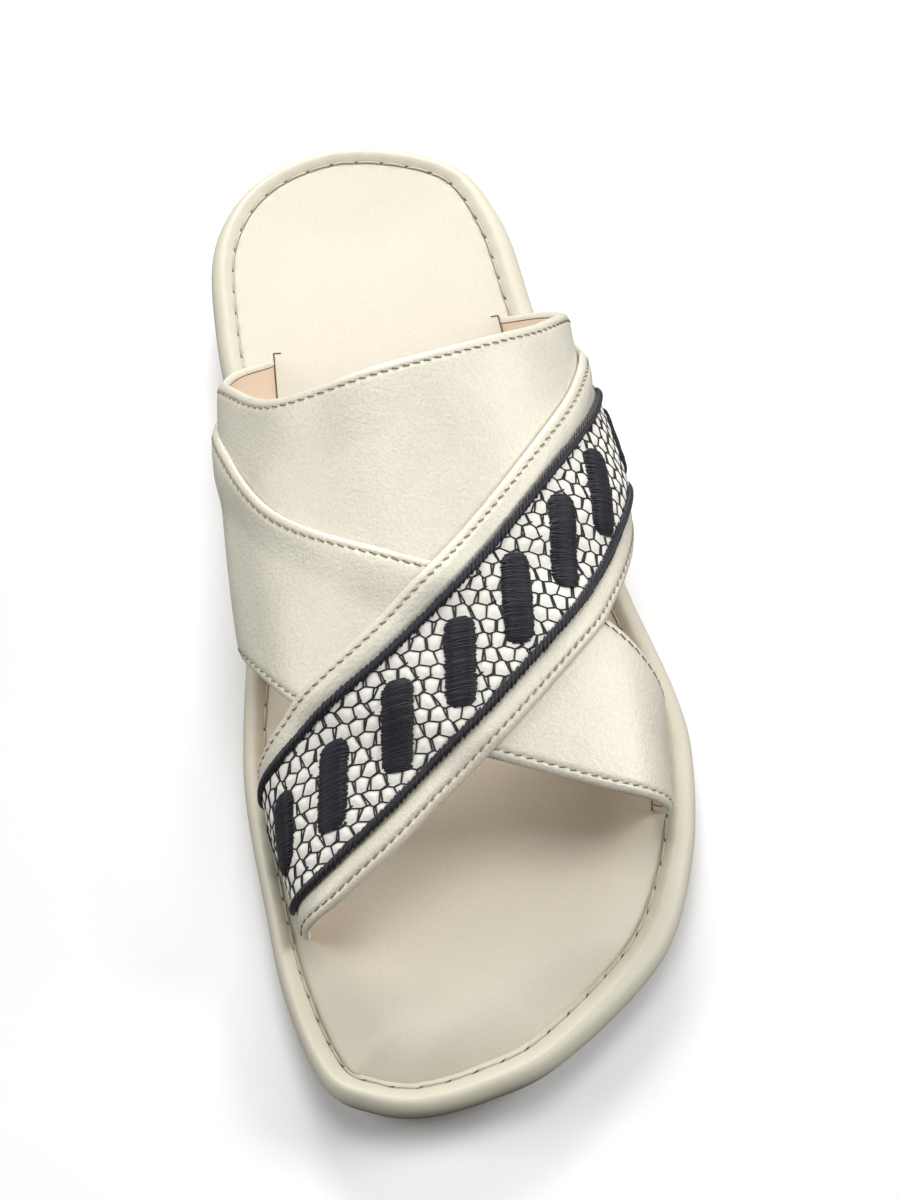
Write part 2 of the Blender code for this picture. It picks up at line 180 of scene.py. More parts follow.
# ---- the last under the straps
def lastSurface(y, run):
    y, run = np.broadcast_arrays(np.asarray(y, float), np.asarray(run, float))
    footIn, footOut, sideIn, sideOut, sideUp, ridge, top = (
        smoothCurve(last["fromToe"], last[name], y)
        for name in ("footIn", "footOut", "sideIn", "sideOut", "sideUp", "ridge", "top"))
    floorIn = footbed(np.stack((footIn, y), -1))
    floorOut = footbed(np.stack((footOut, y), -1))
    belly = (floorIn + floorOut) / 2 + sideUp
    share = last["sideShare"]
    angle = math.pi * np.clip((run - share) / (1 - 2 * share), 0, 1)
    inner = angle < math.pi / 2
    power = 2 / np.where(inner, last["roundIn"], last["roundOut"])
    archX = ridge + (np.where(inner, sideIn, sideOut) - ridge) * np.abs(np.cos(angle)) ** power
    archZ = belly + (top - belly) * np.abs(np.sin(angle)) ** power
    riseIn, riseOut = np.clip(run / share, 0, 1), np.clip((1 - run) / share, 0, 1)
    bowIn = (1 - np.cos(math.pi * riseIn ** last["footBow"])) / 2
    bowOut = (1 - np.cos(math.pi * riseOut ** last["footBow"])) / 2
    low, high = run < share, run > 1 - share
    x = np.where(low, footIn + (sideIn - footIn) * bowIn,
                 np.where(high, footOut + (sideOut - footOut) * bowOut, archX))
    z = np.where(low, floorIn + (belly - floorIn) * riseIn,
                 np.where(high, floorOut + (belly - floorOut) * riseOut, archZ))
    return np.stack((x, y, z), -1)


print("last: making the table that every strap reads")
lastY = np.arange(30, 240.1, 1.5)
lastRun = np.linspace(0, 1, 321)
gridY, gridRun = np.meshgrid(lastY, lastRun, indexing="ij")
lastPoints = lastSurface(gridY, gridRun)
lastNormals = np.cross(np.gradient(lastPoints, axis=1), np.gradient(lastPoints, axis=0))
lastNormals /= np.linalg.norm(lastNormals, axis=-1)[..., None]
lastGirth = np.concatenate((np.zeros((len(lastY), 1)), np.cumsum(
    np.linalg.norm(np.diff(lastPoints, axis=1), axis=-1), axis=1)), axis=1)
lastGirth -= lastGirth[:, len(lastRun) // 2][:, None]


def readTable(table, y, run):
    fy = np.clip((np.asarray(y, float) - lastY[0]) / (lastY[1] - lastY[0]), 0, len(lastY) - 1.001)
    fr = np.clip(np.asarray(run, float) * (len(lastRun) - 1), 0, len(lastRun) - 1.001)
    i, j = fy.astype(int), fr.astype(int)
    a, b = fy - i, fr - j
    if table.ndim == 3:
        a, b = a[..., None], b[..., None]
    return ((table[i, j] * (1 - b) + table[i, j + 1] * b) * (1 - a)
            + (table[i + 1, j] * (1 - b) + table[i + 1, j + 1] * b) * a)


def onLast(y, run, height):
    # a point at a height over the last
    y, run, height = np.broadcast_arrays(*(np.asarray(v, float) for v in (y, run, height)))
    return readTable(lastPoints, y, run) + readTable(lastNormals, y, run) * height[..., None]


def runAtGirth(girth, y):
    # which run lies this far round the last from its ridge
    girth, y = np.broadcast_arrays(np.asarray(girth, float), np.asarray(y, float))
    low, high = np.zeros(girth.shape), np.ones(girth.shape)
    for _ in range(18):
        middle = (low + high) / 2
        over = readTable(lastGirth, y, middle) > girth
        high = np.where(over, middle, high)
        low = np.where(over, low, middle)
    return (low + high) / 2


def strapEdge(key, side, run):
    return smoothCurve(edgeRuns, straps[key][side], run)


def coverOf(key, y, run):
    # 1 where this strap lies under the place, easing out at its edges and feet
    fade = leather["fade"]
    inside = (ease((y - strapEdge(key, "front", run)) / fade + 0.5)
              * ease((strapEdge(key, "back", run) - y) / fade + 0.5))
    return inside * ease(run / leather["footFade"]) * ease((1 - run) / leather["footFade"])


def strapOuter(key, y, run):
    # height of a strap's outer face over the last, climbing over the straps below it
    height = np.full(np.broadcast(y, run).shape, straps[key]["base"] + leather["thick"])
    for below in strapOrder[:strapOrder.index(key)]:
        height = height + leather["climb"] * coverOf(below, y, run)
    return height


def rawEdgeScale(key, side, run, step=0.004):
    # millimetres square to the edge for each millimetre of y
    y = strapEdge(key, side, run)
    ahead = onLast(strapEdge(key, side, run + step), run + step, 0)
    along = ahead - onLast(strapEdge(key, side, run - step), run - step, 0)
    along /= np.linalg.norm(along, axis=-1)[..., None]
    across = onLast(y + 0.5, run, 0) - onLast(y - 0.5, run, 0)
    square = across - (across * along).sum(-1)[..., None] * along
    return np.clip(np.linalg.norm(square, axis=-1), 0.35, 1)


scaleRuns = np.linspace(0, 1, 201)
blurReach = 16
scaleBlur = np.hanning(2 * blurReach + 1) / np.hanning(2 * blurReach + 1).sum()
edgeScales = {}
for key in strapOrder:
    for side in ("front", "back"):
        padded = np.pad(rawEdgeScale(key, side, scaleRuns), blurReach, mode="edge")
        edgeScales[key, side] = np.convolve(padded, scaleBlur, "valid")


def edgeScale(key, side, run):
    return np.interp(run, scaleRuns, edgeScales[key, side])


# ---- mesh helpers
def newObject(name, mesh, material=None, smooth=True):
    if isinstance(mesh, bmesh.types.BMesh):
        data = bpy.data.meshes.new(name)
        mesh.to_mesh(data)
        mesh.free()
    else:
        data = mesh
        data.name = name
    if smooth:
        data.shade_smooth()
    piece = bpy.data.objects.new(name, data)
    bpy.context.scene.collection.objects.link(piece)
    for item in (material if isinstance(material, (list, tuple)) else [material] if material else []):
        data.materials.append(item)
    return piece


def sheetThrough(points, closed=False, capEnds=False, columnFinish=None):
    # a grid laid through rows of points
    rows, columns = points.shape[:2]
    bm = bmesh.new()
    bmesh.ops.create_grid(bm, x_segments=columns - 1, y_segments=rows - 1, size=1)
    if columnFinish:
        for face in bm.faces:
            across = (face.calc_center_median().x + 1) / 2 * (columns - 1)
            face.material_index = columnFinish[int(across)]
    places = toWorld(points)
    for v in bm.verts:
        v.co = places[round((v.co.y + 1) / 2 * (rows - 1)), round((v.co.x + 1) / 2 * (columns - 1))]
    if closed:
        bmesh.ops.remove_doubles(bm, verts=bm.verts, dist=1e-7)
    if capEnds:
        bmesh.ops.holes_fill(bm, edges=[e for e in bm.edges if e.is_boundary], sides=0)
    bmesh.ops.recalc_face_normals(bm, faces=bm.faces)
    return bm


def threadMesh(name, routes, radius, resolution=1, radii=None):
    # many threads as one mesh, from a bevelled curve
    curve = bpy.data.curves.new(name, "CURVE")
    curve.dimensions = "3D"
    curve.bevel_depth = radius * mm
    curve.bevel_resolution = resolution
    curve.use_fill_caps = True
    for k, route in enumerate(routes):
        places = toWorld(route)
        spline = curve.splines.new("POLY")
        spline.points.add(len(places) - 1)
        for i, point in enumerate(spline.points):
            point.co = (*places[i], 1)
            if radii is not None:
                point.radius = radii[k][i] if len(np.shape(radii[k])) else radii[k]
    holder = bpy.data.objects.new(name, curve)
    bpy.context.scene.collection.objects.link(holder)
    bpy.context.view_layer.update()
    mesh = bpy.data.meshes.new_from_object(holder.evaluated_get(bpy.context.evaluated_depsgraph_get()))
    bpy.data.objects.remove(holder)
    bpy.data.curves.remove(curve)
    return mesh


# ---- materials
print("materials")


def nodeGroup(name, inputs, outputs):
    group = bpy.data.node_groups.new(name, "ShaderNodeTree")
    for title, kind, value in inputs:
        socket = group.interface.new_socket(name=title, in_out="INPUT", socket_type=kind)
        if value is not None:
            socket.default_value = value
    for title, kind in outputs:
        group.interface.new_socket(name=title, in_out="OUTPUT", socket_type=kind)
    return group, group.nodes.new("NodeGroupInput"), group.nodes.new("NodeGroupOutput")


def add(tree, kind, inputs=None, **settings):
    node = tree.nodes.new(kind)
    for key, value in settings.items():
        setattr(node, key, value)
    for key, value in (inputs or {}).items():
        if isinstance(value, bpy.types.NodeSocket):
            tree.links.new(value, node.inputs[key])
        else:
            node.inputs[key].default_value = value
    return node


def grainGroup():
    # hide: short pores over a fine noise, soft mottling of the tone, and small handling marks
    group, start, end = nodeGroup("hideGrain", [
        ("Grain Size", "NodeSocketFloat", 0.9), ("Mottle", "NodeSocketFloat", 0.04),
        ("Pore Depth", "NodeSocketFloat", 0.5)],
        [("Height", "NodeSocketFloat"), ("Tone", "NodeSocketFloat"), ("Rough", "NodeSocketFloat")])
    place = add(group, "ShaderNodeTexCoord").outputs["Object"]
    scale = add(group, "ShaderNodeMath", {0: 1000.0, 1: start.outputs["Grain Size"]}, operation="DIVIDE")
    pores = add(group, "ShaderNodeTexVoronoi", {"Vector": place, "Scale": scale.outputs[0],
                "Randomness": 1.0}, feature="SMOOTH_F1")
    fine = add(group, "ShaderNodeTexNoise", {"Vector": place, "Scale": 1500.0, "Detail": 3.0,
               "Roughness": 0.6})
    wide = add(group, "ShaderNodeTexNoise", {"Vector": place, "Scale": 60.0, "Detail": 4.0,
               "Roughness": 0.55})
    ripple = add(group, "ShaderNodeTexNoise", {"Vector": place, "Scale": 900.0, "Detail": 2.0})
    deep = add(group, "ShaderNodeMath", {0: pores.outputs["Distance"], 1: start.outputs["Pore Depth"],
               2: ripple.outputs[0]}, operation="MULTIPLY_ADD")
    height = add(group, "ShaderNodeMath", {0: deep.outputs[0], 1: fine.outputs[0]}, operation="ADD")
    shift = add(group, "ShaderNodeMath", {0: wide.outputs[0], 1: 0.5}, operation="SUBTRACT")
    speck = add(group, "ShaderNodeMath", {0: fine.outputs[0], 1: 0.5}, operation="SUBTRACT")
    both = add(group, "ShaderNodeMath", {0: speck.outputs[0], 1: 1.6, 2: shift.outputs[0]},
               operation="MULTIPLY_ADD")
    tone = add(group, "ShaderNodeMath", {0: both.outputs[0], 1: start.outputs["Mottle"], 2: 1.0},
               operation="MULTIPLY_ADD")
    rough = add(group, "ShaderNodeMath", {0: shift.outputs[0], 1: 0.25, 2: 1.0}, operation="MULTIPLY_ADD")
    group.links.new(height.outputs[0], end.inputs["Height"])
    group.links.new(tone.outputs[0], end.inputs["Tone"])
    group.links.new(rough.outputs[0], end.inputs["Rough"])
    return group


hideGrain = grainGroup()


def linear(red, green, blue):
    def one(c):
        c /= 255
        return c / 12.92 if c <= 0.04045 else ((c + 0.055) / 1.055) ** 2.4
    return (one(red), one(green), one(blue), 1)


def hide(name, colour, rough, grain=0.9, mottle=0.05, pores=0.5, bump=0.25, depth=0.00012,
         sheen=0.0, metal=0.0):
    material = bpy.data.materials.new(name)
    material.use_nodes = True
    tree = material.node_tree
    shader = tree.nodes["Principled BSDF"]
    grainNode = add(tree, "ShaderNodeGroup", node_tree=hideGrain)
    grainNode.inputs["Grain Size"].default_value = grain
    grainNode.inputs["Mottle"].default_value = mottle
    grainNode.inputs["Pore Depth"].default_value = pores
    tint = add(tree, "ShaderNodeMix", data_type="RGBA", blend_type="MULTIPLY")
    tint.inputs[0].default_value = 1.0
    tint.inputs[6].default_value = colour
    tree.links.new(grainNode.outputs["Tone"], tint.inputs[7])
    tree.links.new(tint.outputs[2], shader.inputs["Base Color"])
    roughNode = add(tree, "ShaderNodeMath", {0: grainNode.outputs["Rough"], 1: rough}, operation="MULTIPLY")
    tree.links.new(roughNode.outputs[0], shader.inputs["Roughness"])
    relief = add(tree, "ShaderNodeBump", {"Height": grainNode.outputs["Height"], "Strength": bump,
                 "Distance": depth})
    tree.links.new(relief.outputs[0], shader.inputs["Normal"])
    shader.inputs["Specular IOR Level"].default_value = 0.4
    shader.inputs["Metallic"].default_value = metal
    shader.inputs["Sheen Weight"].default_value = sheen
    return material


def yarn(name, colour, rough, fuzz=0.05, sheen=0.0, twist=1400.0):
    material = bpy.data.materials.new(name)
    material.use_nodes = True
    tree = material.node_tree
    shader = tree.nodes["Principled BSDF"]
    place = add(tree, "ShaderNodeTexCoord").outputs["Object"]
    fibre = add(tree, "ShaderNodeTexNoise", {"Vector": place, "Scale": twist, "Detail": 2.0})
    tone = add(tree, "ShaderNodeMapRange", {"Value": fibre.outputs[0], "From Min": 0.3, "From Max": 0.7,
               "To Min": 1 - fuzz, "To Max": 1 + fuzz})
    tint = add(tree, "ShaderNodeMix", data_type="RGBA", blend_type="MULTIPLY")
    tint.inputs[0].default_value = 1.0
    tint.inputs[6].default_value = colour
    tree.links.new(tone.outputs[0], tint.inputs[7])
    tree.links.new(tint.outputs[2], shader.inputs["Base Color"])
    relief = add(tree, "ShaderNodeBump", {"Height": fibre.outputs[0], "Strength": 0.3, "Distance": 0.0001})
    tree.links.new(relief.outputs[0], shader.inputs["Normal"])
    shader.inputs["Roughness"].default_value = rough
    shader.inputs["Sheen Weight"].default_value = sheen
    shader.inputs["Specular IOR Level"].default_value = 0.35
    return material


finishes = {
    "strapHide": hide("strapHide", linear(214, 209, 193), 0.47, grain=0.8, mottle=0.24, pores=0.6,
                      bump=0.6, depth=0.00018, sheen=0.12, metal=0.15),
    "footbedHide": hide("footbedHide", linear(204, 198, 181), 0.5, grain=1.0, mottle=0.08, pores=0.5,
                        bump=0.38),
    "wrapHide": hide("wrapHide", linear(204, 199, 181), 0.45, grain=1.0, mottle=0.06, pores=0.4, bump=0.3),
    "liningHide": hide("liningHide", linear(222, 198, 174), 0.6, grain=1.2, mottle=0.06, bump=0.2),
    "edgePaint": hide("edgePaint", linear(92, 74, 58), 0.6, bump=0.1),
    "groundCloth": hide("groundCloth", linear(236, 233, 223), 0.75, grain=0.5, mottle=0.08, bump=0.4),
    "darkYarn": yarn("darkYarn", linear(27, 25, 34), 0.45, fuzz=0.35, sheen=0.1),
    "hideThread": yarn("hideThread", linear(150, 139, 113), 0.7),
    "rimThread": yarn("rimThread", linear(196, 187, 164), 0.6),
    # painted shade: the dark in needle holes and strap slots is only shade, laid on as dark threads
    "paintedHoleShade": hide("paintedHoleShade", linear(98, 87, 65), 0.9, bump=0.0),
    "treadRubber": hide("treadRubber", linear(176, 166, 146), 0.7, grain=1.4, mottle=0.08, bump=0.3),
}


def settle(piece, slot, *nodes):
    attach(piece, "root")
    if nodes:
        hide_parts(*nodes)
    return piece


# ---- outsole
print("outsole")
outsole = {"tuck": 1.9, "round": 1.0, "rows": 64,
           # wavy grooves: spacing, depth, half width, slope of the walls, plain margin, wave
           "pitch": 7.0, "cut": 0.9, "halfGroove": 0.5, "wallSlope": 1.1, "margin": 6, "marginFade": 2,
           "wave": 2.4, "waveLong": 19}


def soleLevel(points, name, lift=0.0):
    return np.column_stack((points, soleValue(name, points[:, 1]) + lift))


def towardsSpine(points, share):
    return points * (1 - share) + spine * share


def ringSheet(rows):
    rows = [np.vstack((row, row[:1])) for row in rows]
    return sheetThrough(np.array(rows).swapaxes(0, 1), closed=True)


def treadCut(points, fromEdge):
    x, y = points[:, 0], points[:, 1]
    across = (y + outsole["wave"] * np.sin(2 * math.pi * x / outsole["waveLong"])) / outsole["pitch"]
    fromGroove = np.abs(across - np.round(across)) * outsole["pitch"]
    groove = 1 - ease((fromGroove - outsole["halfGroove"]) / outsole["wallSlope"])
    return outsole["cut"] * groove * ease((fromEdge - outsole["margin"]) / outsole["marginFade"])


def makeOutsole():
    edge = inset(outsole["tuck"])
    foot = inset(outsole["tuck"] + outsole["round"])
    rows = [soleLevel(spine, "tread", treadCut(spine, 20))]
    for share in np.linspace(0.98, 0.02, outsole["rows"]):
        points = towardsSpine(foot, share)
        rows.append(soleLevel(points, "tread", treadCut(points, np.linalg.norm(points - foot, axis=1))))
    for angle in np.linspace(0, math.pi / 2, 5):
        row = inset(outsole["tuck"] + outsole["round"] * (1 - math.sin(angle)))
        rows.append(soleLevel(row, "tread", outsole["round"] * (1 - math.cos(angle))))
    rows += [soleLevel(edge, "seam", -0.5), soleLevel(inset(outsole["tuck"] + 0.4), "seam")]
    rows += [soleLevel(towardsSpine(edge, 0.5), "seam"), soleLevel(spine, "seam")]
    piece = newObject("outsole_rubber", ringSheet(rows), finishes["treadRubber"])
    settle(piece, "outsole", "outsole")


makeOutsole()

# ---- midsole wrap: wall, rolled rim, and the seam where the insole starts
print("midsole wrap")
wrap = {"roll": 3.0, "wallTuck": 1.4, "wallBelly": 0.25, "low": 0.3, "bevel": 0.8,
        # the crest of the rim and its drop to the seam, with what the toe adds
        "crestIn": 2.3, "toeCrest": 1.9, "seamDrop": 1.2, "toeDrop": 2.0, "toeFrom": 60, "toeOver": 50,
        "lining": 2.1, "pitch": 6.75, "pucker": 0.28, "puckerReach": 1.5}
seamRing = inset(rimWidth)
seamRun = lengthsAlong(np.vstack((seamRing, seamRing[:1])))
seamStitches = round(seamRun[-1] / wrap["pitch"])
seamPhase = seamRun[:-1] / seamRun[-1] * seamStitches


def pucker(fromSeam):
    # the hide is drawn down at each needle hole and puffs between them
    drawn = 0.5 + 0.5 * np.cos(2 * math.pi * seamPhase)
    return wrap["pucker"] * bell(fromSeam / wrap["puckerReach"]) * drawn


def toeShare(y):
    return ease((wrap["toeFrom"] - y) / wrap["toeOver"])


def seamDepth(y):
    return wrap["seamDrop"] + wrap["toeDrop"] * toeShare(y)


def makeWrap():
    rim = soleValue("rim", ring[:, 1])
    height = rim - soleValue("seam", ring[:, 1])
    roll = np.minimum(wrap["roll"], 0.4 * height)
    shoulder = np.minimum(1.35 * roll, 0.6 * height)
    toe = toeShare(ring[:, 1])
    tuck, bevel = wrap["wallTuck"], wrap["bevel"]
    crest = rimWidth - wrap["crestIn"] - wrap["toeCrest"] * toe
    seamDrop = seamDepth(ring[:, 1])

    def row(inward, z):
        return np.column_stack((inset(inward), z))

    low = soleValue("seam", ring[:, 1]) + wrap["low"]
    rows = [soleLevel(spine, "seam", wrap["low"]),
            soleLevel(towardsSpine(inset(tuck), 0.5), "seam", wrap["low"]),
            row(tuck + bevel, low), row(tuck + 0.25, low + 0.15), row(tuck, low + bevel)]
    top = rim - 2 * roll - 0.1
    for share in (0.35, 0.7, 0.92):
        belly = wrap["wallBelly"] * math.sin(math.pi * share)
        rows.append(row(tuck - belly, low + bevel + (top - low - bevel) * share))
    for angle in np.linspace(-math.pi / 2, 0, 8):
        rows.append(row(tuck * (1 - math.cos(angle)),
                        rim - shoulder + (2 * roll - shoulder) * math.sin(angle)))
    for angle in np.linspace(0, math.pi / 2, 14)[1:]:
        rows.append(row(crest * (1 - math.cos(angle)), rim - shoulder + shoulder * math.sin(angle)))
    for share in np.linspace(0, 1, 9)[1:]:
        inward = crest + (rimWidth - crest) * share
        fall = seamDrop * share ** (1.8 - 0.5 * toe)
        rows.append(row(inward, rim - fall - pucker(rimWidth - inward)))
    rows += [row(rimWidth + 0.12, rim - seamDrop - 0.7), row(rimWidth + 1.5, rim - 3.6)]
    for share in (0.35, 0.7):
        points = towardsSpine(inset(rimWidth), share)
        rows.append(np.column_stack((points, footbed(points) - wrap["lining"])))
    rows.append(np.column_stack((spine, footbed(spine) - wrap["lining"])))
    settle(newObject("midsole_wrap", ringSheet(rows), finishes["wrapHide"]), "midsole", "midsole")


makeWrap()

# ---- insole: padded leather footbed
print("insole")
pad = {"edgeGap": 0.12, "edgeRound": 0.9, "rows": 50, "thick": 1.8,
       # at the toe: height of the padding, its fall to the seam and how far in the fall starts
       "toeFrom": 76, "toeOver": 50, "toeLift": 6.0, "toeRoll": 2.6, "reach": 21, "power": 2.2,
       # soft waves of the padding: x, y, reach across, reach along, height
       "waves": ((-20, 30, 16, 8, 0.18), (8, 44, 14, 9, -0.16), (-30, 66, 10, 14, 0.14),
                 (20, 70, 12, 10, 0.14), (-12, 205, 14, 20, -0.15), (-30, 240, 8, 16, 0.15),
                 (10, 236, 8, 18, 0.12), (-8, 262, 18, 7, 0.12))}


def padHeight(points, fromSeam):
    # the padding stands up at the toe and rolls down to the seam
    toe = ease((pad["toeFrom"] - points[:, 1]) / pad["toeOver"])
    z = footbed(points) - pucker(fromSeam)
    down = np.clip(1 - fromSeam / pad["reach"], 0, 1) ** pad["power"]
    z = z + toe * (pad["toeLift"] - (pad["toeLift"] + pad["toeRoll"]) * down)
    for x, y, across, along, height in pad["waves"]:
        z = z + height * bell((points[:, 0] - x) / across) * bell((points[:, 1] - y) / along)
    return z


def makePad():
    edge, corner = rimWidth + pad["edgeGap"], pad["edgeRound"]
    under = [spine, towardsSpine(inset(edge), 0.6), towardsSpine(inset(edge), 0.25), inset(edge + 0.2)]
    rows = [np.column_stack((points, footbed(points) - pad["thick"])) for points in under]
    rows.append(np.column_stack((inset(edge), padHeight(inset(edge), 0.3) - 1.1)))
    for angle in np.linspace(0.15, math.pi / 2, 6):
        inward = corner * (1 - math.cos(angle))
        points = inset(edge + inward)
        height = padHeight(points, 0.3 + inward) - 0.7 * (1 - math.sin(angle))
        rows.append(np.column_stack((points, height)))
    start = inset(edge + corner)
    for share in np.linspace(0, 1, pad["rows"])[1:] ** 1.25:
        points = towardsSpine(start, share)
        inward = 0.3 + corner + np.linalg.norm(points - start, axis=1)
        rows.append(np.column_stack((points, padHeight(points, inward))))
    return newObject("insole_pad", ringSheet(rows), finishes["footbedHide"])


settle(makePad(), "insole", "insole")

# ---- seam stitches round the footbed
print("rim stitches")
rimStitch = {"thread": 0.28, "nick": 0.24, "slant": 0.28, "nickReach": 0.17,
             # share of a stitch and height of its thread there
             "arch": ((0.04, -0.8), (0.1, -0.2), (0.3, 0.02), (0.5, 0.08), (0.7, 0.02), (0.9, -0.2),
                      (0.96, -0.8))}


def seamPoint(phase, inward=0.0, lift=0.0):
    # a place on the seam, counted in stitches
    run = (phase % seamStitches) / seamStitches * seamRun[-1]
    at = np.interp(run, seamRun, np.arange(len(seamRun)))
    i, f = int(at) % len(ring), at - int(at)
    j = (i + 1) % len(ring)
    xy = (seamRing[i] - ringOut[i] * inward) * (1 - f) + (seamRing[j] - ringOut[j] * inward) * f
    y = ring[i][1] * (1 - f) + ring[j][1] * f
    return np.array([*xy, soleValue("rim", y) - 0.88 * seamDepth(y) - 0.34 + lift])


def makeRimStitches():
    # a thread lies in the seam, and the shade in each needle hole is painted as a short slanted dark nick
    random.seed(5)
    threads, nicks = [], []
    for k in range(seamStitches):
        lean, slant = random.uniform(-0.15, 0.15), rimStitch["slant"] + random.uniform(-0.1, 0.1)
        threads.append([seamPoint(k + s, 0.2 + lean * (s - 0.5), lift) for s, lift in rimStitch["arch"]])
        reach = rimStitch["nickReach"] + random.uniform(-0.03, 0.03)
        nicks.append([seamPoint(k - reach, 0.1 - slant, -0.16), seamPoint(k, 0.1, -0.24),
                      seamPoint(k + reach, 0.1 + slant, -0.16)])
    thread = threadMesh("rim_stitches", threads, rimStitch["thread"])
    # the nicks carry painted shade: dark colour standing in for the shadow inside each needle hole
    nick = threadMesh("rim_hole_shade", nicks, rimStitch["nick"], radii=[[0.5, 1, 0.5]] * len(nicks))
    settle(newObject("rim_stitches", thread, finishes["rimThread"]), "midsole")
    settle(newObject("rim_hole_shade", nick, finishes["paintedHoleShade"]), "midsole")


makeRimStitches()

# ---- straps
print("straps")
strapLook = {"rollRadius": 1.1, "edgeFall": 0.45, "fallReach": 1.7, "stitchIn": 2.1, "groove": 0.3,
             "steps": 260, "middles": 22, "border": 8, "wall": 2.1,
             # soft creases by strap: run, share of the width, reach in run, reach in share, height
             "creases": {"rear": ((0.24, 0.5, 0.04, 0.6, 1.3), (0.32, 0.85, 0.04, 0.3, -0.6),
                                  (0.38, 0.5, 0.045, 0.3, -0.8), (0.46, 0.15, 0.045, 0.3, -0.7),
                                  (0.56, 0.6, 0.06, 0.4, 0.4), (0.7, 0.6, 0.03, 0.6, 0.4),
                                  (0.86, 0.5, 0.03, 0.5, 0.5)),
                         "middle": ((0.235, 0.5, 0.035, 0.6, 1.2), (0.37, 0.5, 0.05, 0.5, -0.8),
                                    (0.44, 0.4, 0.05, 0.4, 0.4), (0.3, 0.15, 0.04, 0.25, -0.4),
                                    (0.7, 0.4, 0.03, 0.5, 0.5), (0.78, 0.35, 0.03, 0.5, -0.6),
                                    (0.87, 0.7, 0.03, 0.4, 0.5)),
                         "top": ((0.15, 0.5, 0.03, 0.6, 0.2), (0.85, 0.5, 0.03, 0.6, 0.2))}}


def sectionOf(key):
    # a strap's section round from its front edge: side, distance in from it, drop, finish that follows
    r, s, g = strapLook["rollRadius"], strapLook["stitchIn"], strapLook["groove"]
    angles = np.radians((-90, -60, -30, 0, 30, 60, 90))
    edge = [(r * (1 - math.cos(angle)), -r + r * math.sin(angle)) for angle in angles]
    edge += [(s - 0.5, -0.02), (s - 0.2, -0.7 * g), (s, -g), (s + 0.2, -0.7 * g), (s + 0.6, 0.0),
             (s + 1.4, 0.06)]
    edge = [(d, h - strapLook["edgeFall"] * bell(d / strapLook["fallReach"]) if h > -r * 1.01 else h)
            for d, h in edge]
    if key == "top":
        edge += [(s + 2.4, -0.02), (s + 3.5, -0.22), (s + 4.1, -0.45), (s + 4.5, -0.7)]
    else:
        edge += [(s + 3.0, 0.08)]
    flat = -0.8 if key == "top" else 0.1
    middles = np.linspace(0, 1, strapLook["middles"] + 2)[1:-1]
    places = [("front", d, h, 0) for d, h in edge]
    places += [("share", x, flat, 0) for x in middles]
    places += [("back", d, h, 0) for d, h in reversed(edge)]
    wall = strapLook["wall"]
    places += [("back", 1.75, -wall - 0.1, 2), ("back", 2.0, -wall, 1)]
    places += [("share", x, -wall, 1) for x in (0.85, 0.65, 0.5, 0.35, 0.15)]
    places += [("front", 2.0, -wall, 2), ("front", 1.75, -wall - 0.1, 0)]
    return places


def strapY(key, kind, distance, run):
    front, back = strapEdge(key, "front", run), strapEdge(key, "back", run)
    if kind == "front":
        return front + distance / edgeScale(key, "front", run)
    if kind == "back":
        return back - distance / edgeScale(key, "back", run)
    inner = front + strapLook["border"] / edgeScale(key, "front", run)
    outer = back - strapLook["border"] / edgeScale(key, "back", run)
    return inner + (outer - inner) * distance


def creaseHeight(key, y, run):
    front, back = strapEdge(key, "front", run), strapEdge(key, "back", run)
    share = (y - front) / (back - front)
    total = 0
    for atRun, atShare, reachRun, reachShare, height in strapLook["creases"][key]:
        total = total + height * bell((run - atRun) / reachRun) * bell((share - atShare) / reachShare)
    return total


def makeStrap(key):
    places = sectionOf(key)
    runs = np.linspace(0, 1, strapLook["steps"] + 1)
    columns = []
    for kind, distance, drop, _ in places:
        y = strapY(key, kind, distance, runs)
        height = strapOuter(key, y, runs) + drop + creaseHeight(key, y, runs)
        columns.append(onLast(y, runs, height))
    body = np.array(columns + columns[:1]).swapaxes(0, 1)
    sunk = [row - np.array([0, 0, leather["footDepth"]]) for row in (body[0], body[-1])]
    body = np.concatenate((sunk[0][None], body, sunk[1][None]))
    mesh = sheetThrough(body, closed=True, capEnds=True, columnFinish=[finish for *_, finish in places])
    piece = newObject(f"strap_{key}", mesh,
                      [finishes["strapHide"], finishes["liningHide"], finishes["edgePaint"]])
    return settle(piece, "upper", "upper")


for key in strapOrder:
    makeStrap(key)

# ---- painted shade of the slots where the straps go down through the footbed: dark lines laid on it
print("slots")
slot = {"past": {"rear": (1.2, 0.3), "middle": (-0.5, -0.5), "top": (-0.5, -0.5)},
        "cross": 1.9, "radius": 0.2, "proud": 0.02}


def makeSlotShade():
    routes = []
    for key in strapOrder:
        for run, inward in ((0.0, 1), (1.0, -1)):
            front, back = strapEdge(key, "front", run), strapEdge(key, "back", run)
            past = slot["past"][key][0 if run == 0 else 1]
            y = np.linspace(front + 0.6, back + past, 60)
            feet = onLast(y, run, straps[key]["base"] - slot["radius"] / 2)
            routes.append(feet)
            if key == "rear":
                reach = np.array([inward * slot["cross"], 0.0, 0])
                routes.append(feet[-1] + np.linspace(0, 1, 6)[:, None] * reach)
    for route in routes:
        route[:, 2] = footbed(route[:, :2]) + slot["proud"]
    # painted shade of the slits, as thin dark threads just proud of the footbed
    mesh = threadMesh("footbed_slot_shade", routes, slot["radius"])
    settle(newObject("footbed_slot_shade", mesh, finishes["paintedHoleShade"]), "insole")


makeSlotShade()

# ---- stitches along the strap edges
print("strap stitches")
edgeStitch = {"pitch": 2.7, "share": 0.58, "radius": 0.2}


